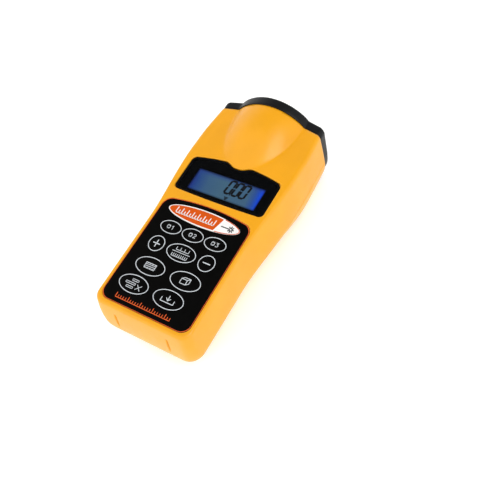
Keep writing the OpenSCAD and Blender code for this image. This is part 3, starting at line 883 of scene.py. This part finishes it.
def back_cover():
    """The back: a rounded tray with the door's opening and slots, and screw wells."""
    cover = shell_piece("back_shell", [lower_solid()])
    hollow = [lower_ring(z, WALL, 80) for z in (2.7, 3.5, 4.5, 6, 8, 10, 13, 17, 23)]
    cut(cover, [loft(hollow)])
    for reach, low, high in ((DOOR_GAP, -1, 1.1), (1.5, 1.0, 3.5)):
        half = DOOR_HALF + reach
        cut(cover, [box_part((-half, BASE_Y - 10, low), (half, DOOR_Y + DOOR_GAP, high))])
    well = [(0.01, -1), (WELL_R, -1), (WELL_R, WELL_TOP), (0.01, WELL_TOP)]
    cut(cover, [lathe(well, upright(x, y), 48) for x, y in SCREW_PLACES])
    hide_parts("back_cover")


def screw_tubes():
    """A tube round each cover screw, trimmed to the back's own surface."""
    profile = [(WELL_R, 0.4), (WELL_R, WELL_TOP), (1.25, WELL_TOP)]
    profile += [(1.25, 21.4), (TUBE_R, 21.4), (TUBE_R, 0.4)]
    parts = [lathe(profile, upright(x, y), 48) for x, y in SCREW_PLACES]
    tubes = shell_piece("back_tubes", parts)
    heights = (0, 0.3, 1, 2, 4, 6, 9, 12, 15, 18, 21.45)
    cut(tubes, [loft([lower_ring(z, 0.05, 66) for z in heights])], "INTERSECT")


def battery_ribs():
    """Walls at both sides of the battery and across its nose end."""
    low, high = 2.6, 17.7
    ribs = []
    for x in (-DOOR_HALF - RIB_WIDTH, DOOR_HALF):
        ribs.append(box_part((x, BAY_START, low), (x + RIB_WIDTH, BAY_END - 0.2, high)))
    ribs.append(box_part((-DOOR_HALF, BAY_END - RIB_WIDTH, low), (DOOR_HALF, BAY_END, high)))
    bevel(shell_piece("back_ribs", ribs), 0.15)


def upright(x, y):
    """Places a turned profile on an axis along Z."""
    return lambda u, along, v: (x + u, y + v, along)


def along_y(x, z):
    """Places a turned profile on an axis along Y."""
    return lambda u, along, v: (x + u, along, z + v)


def grip_groove(y):
    """A round-bottomed groove across the door that runs out at both ends."""
    rings = []
    for x in [mix(-7, 7, t) for t in steps(12)]:
        depth = 0.75 * sqrt(max(0.0, 1 - (x / 7.4) ** 4))
        turns = [pi * t for t in steps(8)]
        rings.append([(x, y + 0.5 * cos(a), -0.3 + (0.3 + depth) * sin(a)) for a in turns])
    return loft(rings)


def battery_door():
    """The sliding door: part of the back's own surface, with grip grooves and tongues."""
    door = shell_piece("door_panel", [lower_solid()], "battery_door")
    cut(door, [box_part((-DOOR_HALF, -75, -1), (DOOR_HALF, DOOR_Y, 2.4))], "INTERSECT")
    cut(door, [grip_groove(BAY_START + 0.5 + 2.4 * i) for i in range(5)])
    arrow = [(0, -43.5), (4.2, -38.5), (1.5, -38.5), (1.5, -33), (-1.5, -33), (-1.5, -38.5)]
    arrow.append((-4.2, -38.5))
    cut(door, plate(arrow, [], -0.5, 0.35))
    cut(door, [box_part((x, DOOR_Y - 8, -1), (x + 0.6, DOOR_Y + 2, 5)) for x in (-4.5, 3.9)])
    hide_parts("battery_door")
    reach = DOOR_HALF + TONGUE_REACH
    parts = [
        box_part((x, BAY_START, 1.3), (x + TONGUE_WIDTH, DOOR_Y - DOOR_GAP, 2.3))
        for x in (-reach, reach - TONGUE_WIDTH)
    ]
    bevel(shell_piece("door_tongues", parts, "battery_door"), 0.12)


# ---- nose, horn and laser

def nose_outline(grow):
    """Outline of the nose cap across the body, as (x, z)."""
    r = 27.9 + grow
    z1 = FACE_Z - SHOULDER_DROP + 0.1 + grow
    middle = 19.4
    a = acos((z1 + 1.1 - middle) / r)
    w = top_half_width(NOSE_Y) + 0.6 + grow
    side = joint_half_width(NOSE_Y) + 0.4 + grow
    right = [(r * sin(a * t), middle + r * cos(a * t)) for t in steps(26)]
    right += [(r * sin(a) + 0.7, z1 + 0.35), (r * sin(a) + 1.7, z1)]
    right += arc(w - 3, z1 - 3.1, 3, 85, 5, 10)
    right += [(mix(w, side, t), mix(z1 - 4, JOINT_Z, t)) for t in steps(8)[1:]]
    right += [(side - 0.4, 16), (side - 1.4, 13.2), (side - 2.9, 10.6)]
    right += [(side - 5.4, 7.4 - grow * 0.7), (side - 7.6, 5.2 - grow)]
    for x in [mix(side - 8.2, 0.5, t) for t in steps(14)[1:]]:
        right.append((x, x * x / 135 - 0.27 - grow))
    loop = right + [(-x, z) for x, z in right[::-1] if abs(x) > 0.01]
    return rounded([(x, max(z, 0.02)) for x, z in loop], 2)


def circle(x, y, r, count=128):
    turns = [2 * pi * i / count for i in range(count)]
    return [(x + r * cos(a), y + r * sin(a)) for a in turns]


def on_nose(loop, distance):
    return [(x, nose_plane(distance, z, x), z) for x, z in loop]


def nose_cap():
    """The black bumper: rounded all round, with a lipped horn mouth and the pointer's hole."""
    back = [(-1.6, 0), (-0.3, 0), (-0.06, -0.08), (0, -0.35)]
    rings = [on_nose(nose_outline(grow), NOSE_RIM + step) for grow, step in back]
    rings += [on_nose(nose_outline(0), mix(NOSE_RIM - 0.35, 1.2, t)) for t in steps(3)[1:]]
    for side, down in quarter(8)[1:]:
        rings.append(on_nose(nose_outline(-1.2 * down), 1.2 * side))
    parts = [strip(rings)]
    mouth, hole = [], []
    for side, down in quarter(6):
        mouth.append(on_nose(circle(0, HORN_Z, MOUTH_R + 0.9 * side), 0.9 * down))
        hole.append(on_nose(circle(LASER_X, LASER_Z, LASER_R + 0.5 * side, 48), 0.5 * down))
    mouth.append(on_nose(circle(0, HORN_Z, MOUTH_R), 3.0))
    hole.append(on_nose(circle(LASER_X, LASER_Z, LASER_R, 48), 3.0))
    outer = [(x, z) for x, y, z in rings[-1]]
    holes = [[(x, z) for x, y, z in ring[0]] for ring in (mouth, hole)]
    grid = spaced_grid(outer, [outer] + holes, 1.8)
    grid = [p for p in grid if not any(inside(p, h) for h in holes)]
    parts.append(triangles(outer, holes, grid, lambda x, z: (x, nose_plane(0, z, x), z)))
    parts.append(strip(mouth))
    parts.append(strip(hole))
    cap = make_piece("nose_bumper", parts, M["nose_black"], slot="black_rubber", angle=45)
    face = min(cap.data.polygons, key=lambda f: (f.center - Vector((0.028, 0.068, 0.03))).length)
    if face.normal.y < 0:
        cap.data.flip_normals()
    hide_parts("nose_cap")


def horn_cone():
    """The horn's bore with a stepped throat, and the socket behind it."""
    reach = nose_plane(3.0, HORN_Z) - THROAT_Y
    slope = (MOUTH_R - THROAT_R) / 22
    profile = [(THROAT_R, 0.3), (THROAT_R + 0.3, 0.0)]
    for t in steps(22):
        along = mix(0.6, reach - 2.2, t)
        profile.append((THROAT_R + slope * along, along))
        profile.append((THROAT_R + slope * along + 0.05, along + 0.12))
    profile += [(MOUTH_R + 0.02, reach - 1.4), (MOUTH_R + 0.02, reach + 1.6)]
    profile += [(MOUTH_R + 1.5, reach + 1.2), (MOUTH_R + 1.3, reach - 3)]
    profile += [(10.6, 0), (10.6, -10.5), (9.2, -10.5), (9.2, -0.8), (THROAT_R, -0.8)]
    placed = [(r, THROAT_Y + along) for r, along in profile]
    cone = make_piece(
        "horn_cone", [lathe(placed, along_y(0, HORN_Z), 128)], M["horn_black"],
        slot="black_plastic", angle=35,
    )
    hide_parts("horn")


def laser_eye():
    """A domed red lens in the pointer's hole."""
    front = nose_plane(0, LASER_Z, LASER_X) - 0.75
    r = LASER_R - 0.04
    profile = [(0.01, front - 1.6), (r, front - 1.6)]
    for a in [pi / 2 * t for t in steps(8)][:-1]:
        profile.append((r * cos(a), front - 0.5 + 0.5 * sin(a)))
    profile.append((0.01, front))
    eye = make_piece(
        "laser_eye", [lathe(profile, along_y(LASER_X, LASER_Z), 48)], M["red_window"],
        slot="red_window",
    )
    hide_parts("laser_window")


# ---- display

def display():
    """Window, printed mask and the lit LCD with its reading."""
    pane = make_piece(
        "window_pane", plate(window_outline(-0.82), [], MASK_Z + 0.14, WINDOW_TOP - 0.02),
        M["window_clear"], slot="clear_window",
    )
    bevel(pane, 0.12, 3)
    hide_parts("display_window")
    opening = [
        (VIEW_LEFT, VIEW_LOW), (VIEW_RIGHT, VIEW_LOW), (VIEW_RIGHT, VIEW_HIGH), (VIEW_LEFT, VIEW_HIGH)
    ]
    frame_parts = plate(window_outline(-0.02), [opening], MASK_Z, MASK_Z + 0.12)
    frame_parts += plate(window_outline(-0.02), [window_outline(-0.8)], MASK_Z + 0.12, WINDOW_TOP)
    mask = make_piece("window_mask", frame_parts, M["mask_black"], slot="printed_black")
    bevel(mask, 0.2, 3)
    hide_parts("display_mask")
    panel = make_piece(
        "lcd_panel", [box_part((-23.6, 5.6, LCD_TOP - 2), (23.6, 23.0, LCD_TOP))],
        M["lcd_face"], slot="lcd_glass",
    )
    bevel(panel, 0.1)
    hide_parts("lcd_glass")
    reading()


def slanted(points, x, y):
    """Leans LCD shapes a little to the right and puts them in place."""
    return [(x + u + 0.12 * v, y + v) for u, v in points]


BAR_HALF = 0.58


def segment(x, y, length, upright_bar, x0, y0):
    """One bar of a seven-segment digit, pointed at both ends."""
    t = BAR_HALF
    shape = [(0.06, 0), (t - 0.1, t), (length - t + 0.1, t), (length - 0.06, 0)]
    shape += [(length - t, -t), (t, -t)]
    if upright_bar:
        shape = [(v, u) for u, v in shape]
    return slanted([(x + u, y + v) for u, v in shape], x0, y0)


def reading():
    """The figures 0.00 and a small range mark."""
    wide, tall = 3.1, 7.9
    shapes = []
    for x0 in (0.15, 4.5, 8.6):
        bars = [(0, 0, wide, False), (0, tall, wide, False)]
        for x in (0, wide):
            bars += [(x, 0, tall / 2, True), (x, tall / 2, tall / 2, True)]
        for x, y, length, up in bars:
            shapes.append(segment(x, y, length, up, x0, 12.3))
    shapes.append(slanted([(0, 0), (0.7, 0), (0.7, 0.9), (0, 0.9)], 3.5, 11.75))
    middle = 3.1
    for width, y in ((2.4, 9.9), (1.7, 9.25), (1.0, 8.6)):
        low, high = middle - width / 2, middle + width / 2
        shapes.append([(low, y), (high, y), (high, y + 0.5), (low, y + 0.5)])
    parts = []
    for shape in shapes:
        parts += plate(shape, [], LCD_TOP + 0.01, LCD_TOP + 0.06)
    make_piece("lcd_reading", parts, M["lcd_ink"], slot="printed_black")


# ---- keypad

def key_outline(key, grow, count=96):
    x, y, rx, ry = key
    turns = [2 * pi * i / count for i in range(count)]
    return [(x + (rx + grow) * cos(a), KEYPAD_Y + y + (ry + grow) * sin(a)) for a in turns]


def keypad_film():
    """The black graphic film with its key holes, and the thin orange line printed round it."""
    holes = [key_outline(key, KEY_GAP) for key in KEYS.values()]
    film = make_piece(
        "keypad_film", plate(keypad_outline(0), holes, OVERLAY_Z, OVERLAY_TOP), M["film_black"],
        slot="keypad_film",
    )
    bevel(film, 0.06, 2)
    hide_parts("keypad_overlay")
    make_piece(
        "keypad_line",
        plate(keypad_outline(-0.04), [keypad_outline(-0.30)], OVERLAY_TOP - 0.1, OVERLAY_TOP + 0.02),
        M["edge_orange"], slot="key_orange",
    )
    ticks = []
    for i in range(23):
        x = -17.6 + 1.46 * i
        high = 2.2 if i % 5 == 0 else 1.25
        ticks += stroke([(x, -59.5), (x, -59.5 + high)], 0.34, OVERLAY_TOP + 0.02)
    ticks += stroke([(-17.6, -59.6), (14.6, -59.6)], 0.34, OVERLAY_TOP + 0.02)
    make_piece("keypad_scale", ticks, M["edge_orange"], slot="key_orange")


def stroke(points, width, top):
    """A printed line of round-ended bars through some points."""
    parts = []
    for i, (a, b) in enumerate(zip(points, points[1:])):
        turn = atan2(b[1] - a[1], b[0] - a[0])
        loop = []
        for (x, y), start in ((b, -90), (a, 90)):
            for k in range(7):
                angle = turn + radians(start + 30 * k)
                loop.append((x + width / 2 * cos(angle), y + width / 2 * sin(angle)))
        lift = 0.002 * (i % 3)
        parts.append(loft([raised(loop, OVERLAY_TOP - 0.05), raised(loop, top + lift)]))
    return parts


def raised_ring(key, grow, width, rise):
    """A rounded raised band just inside a key's edge."""
    rings = []
    for k in range(9):
        a = pi * k / 8
        z = OVERLAY_TOP - 0.03 + (rise + 0.03) * sin(a)
        rings.append(raised(key_outline(key, grow - width / 2 * cos(a)), z))
    rings.append(rings[0])
    return strip(rings)


def key_cap(name, material, slot_name):
    """A key: a thin oval cap with a softened edge over its short stem."""
    key = KEYS[name]
    x, y = key[0], KEYPAD_Y + key[1]
    rings = [raised(key_outline(key, 0), OVERLAY_Z - 0.25)]
    for side, down in quarter(4):
        rings.append(raised(key_outline(key, -0.09 * down), OVERLAY_TOP - 0.09 * side))
    stem = [raised(circle(x, y, 2.4, 32), z) for z in (38.75, 38.9)]
    cap = make_piece(name + "_cap", [loft(rings), loft(stem)], material, name, slot=slot_name)
    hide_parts(name)


def legend(name, strokes, width, tint="ink_grey"):
    """Printed marks on a key, as lines placed from the key's centre."""
    x, y = KEYS[name][0], KEYPAD_Y + KEYS[name][1]
    parts = []
    for points in strokes:
        parts += stroke([(x + u, y + v) for u, v in points], width, LEGEND_Z)
    slot_name = "printed_black" if tint == "lcd_ink" else "white_plastic"
    return make_piece(name + "_legend", parts, M[tint], name, slot=slot_name)


def memory_marks(figure):
    """A small memory chip beside a figure."""
    chip = [
        [(-2.6, -0.9), (-0.6, -0.9), (-0.6, 0.9), (-2.6, 0.9), (-2.6, -0.9)],
        [(-2.1, -1.35), (-2.1, -0.9)], [(-1.1, -1.35), (-1.1, -0.9)],
        [(-2.1, 0.9), (-2.1, 1.35)], [(-1.1, 0.9), (-1.1, 1.35)],
    ]
    return [[(0.78 * u, 0.78 * v) for u, v in line] for line in chip + figure]


ONE = [[(0.9, 0.8), (1.6, 1.35), (1.6, -1.35)]]
TWO = [[(0.7, 0.85), (1.1, 1.3), (1.9, 1.3), (2.3, 0.8), (2.2, 0.2), (0.7, -1.3), (2.4, -1.3)]]
THREE = [[(0.7, 1.3), (2.2, 1.3), (1.4, 0.3), (2.1, 0.1), (2.4, -0.5), (2.0, -1.2), (1.2, -1.35),
          (0.6, -0.95)]]


def ruler(low, high, base, tick, count):
    """A short ruler: a line with ticks up from it."""
    marks = [[(low, base), (high, base)]]
    for x in [mix(low, high, t) for t in steps(count)]:
        marks.append([(x, base), (x, base + tick)])
    return marks


def units_marks():
    """A coarse ruler over a fine one."""
    marks = [[(-5.0, 0), (5.0, 0)]]
    return marks + ruler(-3.6, 3.6, 1.0, 1.5, 3) + ruler(-4.4, 4.4, -2.7, 1.5, 8)


def area_marks():
    """A hatched field."""
    marks = [[(-3.0, -1.5), (3.0, -1.5), (3.0, 1.5), (-3.0, 1.5), (-3.0, -1.5)]]
    marks += [[(-3.0, 0), (-1.5, 1.5)], [(-3, -1.5), (0, 1.5)], [(-1.5, -1.5), (1.5, 1.5)]]
    return marks + [[(0, -1.5), (3, 1.5)], [(1.5, -1.5), (3, 0)]]


def volume_marks():
    """A cube."""
    marks = [[(-2.4, -1.7), (0.9, -1.7), (0.9, 0.8), (-2.4, 0.8), (-2.4, -1.7)]]
    marks += [[(-2.4, 0.8), (-0.9, 1.8), (2.4, 1.8), (2.4, -0.7), (0.9, -1.7)]]
    return marks + [[(0.9, 0.8), (2.4, 1.8)]]


def clear_marks():
    """Three stored lines and a cross."""
    marks = []
    for y, low, high in ((2.0, -1.8, 1.8), (0.0, -4.6, 1.0), (-2.0, -3.2, 0.6)):
        for y1 in (y - 0.45, y + 0.45):
            marks.append([(low, y1), (high, y1)])
        marks += [[(low, y - 0.45), (low, y + 0.45)], [(high, y - 0.45), (high, y + 0.45)]]
    return marks + [[(2.2, -2.2), (4.8, 0.4)], [(2.2, 0.4), (4.8, -2.2)]]


def store_marks():
    """An arrow into a tray."""
    marks = [[(-3.6, 0.2), (-3.6, -1.7), (3.6, -1.7), (3.6, 0.2)], [(0, 1.9), (0, -0.7)]]
    return marks + [[(-1.2, 0.5), (0, -0.7), (1.2, 0.5)]]


def keys():
    """All eleven keys with their rings and marks."""
    measure_key()
    for name, key in KEYS.items():
        if name != "key_measure":
            key_cap(name, M["film_black"], "keypad_film")
            ring = raised_ring(key, -0.34, 0.42, 0.1)
            make_piece(name + "_ring", [ring], M["ink_grey"], name, slot="white_plastic")
    for name, figure in (("one", ONE), ("two", TWO), ("three", THREE)):
        legend("key_memory_" + name, memory_marks(figure), 0.28)
    legend("key_plus", [[(-1.9, 0), (1.9, 0)], [(0, -1.9), (0, 1.9)]], 0.5)
    legend("key_minus", [[(-1.9, 0), (1.9, 0)]], 0.5)
    legend("key_units", units_marks(), 0.3)
    legend("key_area", area_marks(), 0.32)
    legend("key_volume", volume_marks(), 0.32)
    legend("key_clear", clear_marks(), 0.3)
    legend("key_store", store_marks(), 0.36)


def split_x(y):
    """Where the slanted line between the measure key's two colours runs."""
    return 9.4 + 0.3 * (y - KEYPAD_Y - KEYS["key_measure"][1])


def measure_key():
    """The long key: an orange part edged in white, and a white part edged in orange."""
    name = "key_measure"
    key = KEYS[name]
    key_cap(name, M["ink_white"], "key_orange")
    inner = key_outline(key, -0.62, 160)
    orange = [p for p in inner if p[0] < split_x(p[1])]
    levels = (OVERLAY_TOP - 0.03, OVERLAY_TOP + 0.03)
    part = plate(orange, [], *levels)
    rims = []
    for grow in (-0.1, -0.55):
        loop = [p for p in key_outline(key, grow, 160) if p[0] > split_x(p[1]) + 0.3]
        loop.sort(key=lambda p: atan2((p[1] - KEYPAD_Y - key[1]) / key[3], p[0] / key[2]))
        rims.append(loop)
    part += plate(rims[0] + rims[1][::-1], [], *levels)
    make_piece("key_measure_orange", part, M["ink_orange"], name, slot="key_orange")
    start, end, base = -16.2, 6.6, -1.5
    scale = [[(start, base), (end, base)]]
    for i, t in enumerate(steps(14)):
        x = mix(start, end, t)
        scale.append([(x, base), (x + 0.2, 0.2 if i % 2 else 1.6)])
    legend(name, scale, 0.5, "ink_white")
    spot_x, spot_y = 16.2, -0.2
    beam = [[(10.9, spot_y), (14.6, spot_y)]]
    for i in range(8):
        a = pi * i / 4
        beam.append([(spot_x + r * cos(a), spot_y + r * sin(a)) for r in (0.7, 1.6)])
    marks = legend(name, beam, 0.55, "lcd_ink")
    marks.name = "key_measure_beam"


# ---- carried-over CAD parts

CAD_FINISHES = {
    "aluminium": ("transducer_can", "transducer_cone"),
    "mesh_black": ("transducer_mesh",),
    "laminate": ("transducer_base",),
    "brass": ("laser_barrel",),
    "black_rubber": ("transducer_gasket", "contact_strips"),
    "white_plastic": ("laser_lens", "lcd_backlight", "tail_connector"),
    "chip_black": (
        "laser_clamp", "controller_chip", "amplifier_chips", "buzzer", "battery_snap",
    ),
    "lcd_frame": ("lcd_frame",),
    "film_black": ("keypad_spacer", "keypad_circuit"),
    "steel": (
        "contact_domes", "pulse_transformer", "crystal", "board_screws", "battery_terminals",
        "shell_screws",
    ),
    "board_green": ("main_board",),
    "sleeve": ("filter_capacitors",),
    "foam": ("battery_foam",),
    "battery_case": ("battery",),
    "wire_red": ("battery_lead_red", "laser_leads"),
    "wire_black": ("battery_lead_black",),
    "wire_white": ("transducer_leads",),
}


def finish_cad_parts():
    for finish, names in CAD_FINISHES.items():
        for name in names:
            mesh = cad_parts[name].data
            mesh.materials.clear()
            mesh.materials.append(M[finish])


# ---- camera, floor and light

def camera():
    data = bpy.data.cameras.new("camera")
    data.lens = 53.663
    data.sensor_width = 36
    data.clip_start = 0.01
    data.clip_end = 20
    obj = add_object("camera", data)
    obj.location = (0.17612, -0.13070, 0.31634)
    obj.rotation_euler = [radians(turn) for turn in (32.565, 14.000, 30.780)]
    scene.camera = obj


def floor():
    paint = moulded("floor_white", (0.90, 0.90, 0.895), 0.7, 2.0, 0.02, 0.01, 60.0)
    paint.set(Specular_IOR_Level=0.2, Emission_Color=(1, 1, 1, 1), Emission_Strength=0.3)
    mesh = bpy.data.meshes.new("floor")
    corners = [(-3, -3, 0), (3, -3, 0), (3, 3, 0), (-3, 3, 0)]
    mesh.from_pydata(corners, [], [(0, 1, 2, 3)])
    obj = new_object("floor", mesh, paint.material, None)
    obj.location.z = cad_box[0].z - 0.0002


def sky():
    """An even studio tent: bright round the sides and dim overhead."""
    world = bpy.data.worlds.new("world")
    world.use_nodes = True
    tree = world.node_tree
    where = add_node(tree, "ShaderNodeTexCoord", {}, {}).outputs["Generated"]
    split = add_node(tree, "ShaderNodeSeparateXYZ", {"Vector": where}, {})
    fade = add_node(tree, "ShaderNodeMapRange", {
        "Value": split.outputs["Z"], "From Min": 0.35, "From Max": 0.85, "To Min": 1.1,
        "To Max": 0.12,
    }, {"interpolation_type": "SMOOTHSTEP"})
    light = {"Color": (1.0, 1.0, 1.0, 1), "Strength": fade.outputs["Result"]}
    feed(tree, tree.nodes["Background"], light)
    scene.world = world


def soft_sun(name, direction, spread, strength):
    """A wide, slightly warm light from a direction; its spread is in degrees."""
    data = bpy.data.lights.new(name, "SUN")
    data.angle = radians(spread)
    data.energy = strength
    data.color = (1.0, 0.99, 0.97)
    obj = add_object(name, data)
    obj.rotation_mode = "QUATERNION"
    obj.rotation_quaternion = Vector(direction).to_track_quat("Z", "Y")


def lights():
    sky()
    soft_sun("key", (-0.35, -0.50, 0.78), 80, 1.2)
    soft_sun("side", (0.46, -0.02, 0.89), 34, 1.5)


front_cover()
back_cover()
screw_tubes()
battery_ribs()
battery_door()
nose_cap()
horn_cone()
laser_eye()
display()
keypad_film()
keys()
finish_cad_parts()
camera()
floor()
lights()
scene.view_settings.view_transform = "Standard"
